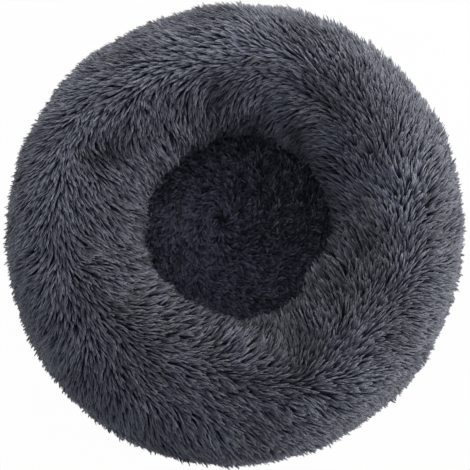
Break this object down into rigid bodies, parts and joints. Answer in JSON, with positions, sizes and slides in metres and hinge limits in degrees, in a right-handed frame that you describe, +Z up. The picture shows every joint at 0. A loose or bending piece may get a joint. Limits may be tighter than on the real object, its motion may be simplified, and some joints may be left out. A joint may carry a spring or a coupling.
{
  "type": "donut pet bed",
  "caption": "Round plush pet bed: a thick long-pile ring round a deep nest, with a zipped cover over loose stuffed inserts.",
  "frame": {"origin": "on the ground, under the middle of the bed", "axes": "+Z up, +Y toward the back, where the zip is and the top of the picture, +X to the right of the picture"},
  "size_m": [0.5838, 0.5854, 0.1809],
  "materials": {
    "shag_charcoal": "matte",
    "plush_charcoal": "matte",
    "nonwoven_white": "matte",
    "polyester_fibre": "matte",
    "oxford_dark": "matte",
    "seam_cloth": "matte",
    "zip_tape": "matte",
    "zip_nylon": "satin",
    "zip_metal": "satin",
    "label_cloth": "satin"
  },
  "bodies": {
    "bed": {"bolster_cover": "shag_charcoal", "nest_panel": "plush_charcoal", "bolster_liner": "nonwoven_white", "cushion_liner": "nonwoven_white", "bolster_fill": "polyester_fibre", "cushion_fill": "polyester_fibre", "base_panel": "oxford_dark", "base_binding": "seam_cloth", "nest_seam_tape": "seam_cloth", "zip_tape_upper": "zip_tape", "zip_tape_lower": "zip_tape", "zip_coil_upper": "zip_nylon", "zip_coil_lower": "zip_nylon", "zip_top_stop_upper": "zip_metal", "zip_top_stop_lower": "zip_metal", "zip_bottom_stop": "zip_metal", "care_label": "label_cloth"},
    "slider": {"zip_slider": "zip_metal"},
    "pull": {"zip_pull": "zip_metal"}
  },
  "joints": [
    {"name": "zip_run", "type": "hinge", "parent": "bed", "child": "slider", "pos_m": [0, 0, 0.023], "axis": [0, 0, -1], "range_deg": [0, 104.17]},
    {"name": "pull_swing", "type": "hinge", "parent": "slider", "child": "pull", "pos_m": [-0.21152, 0.16474, 0.023], "axis": [0, 0, 1], "range_deg": [0, 175]}
  ]
}
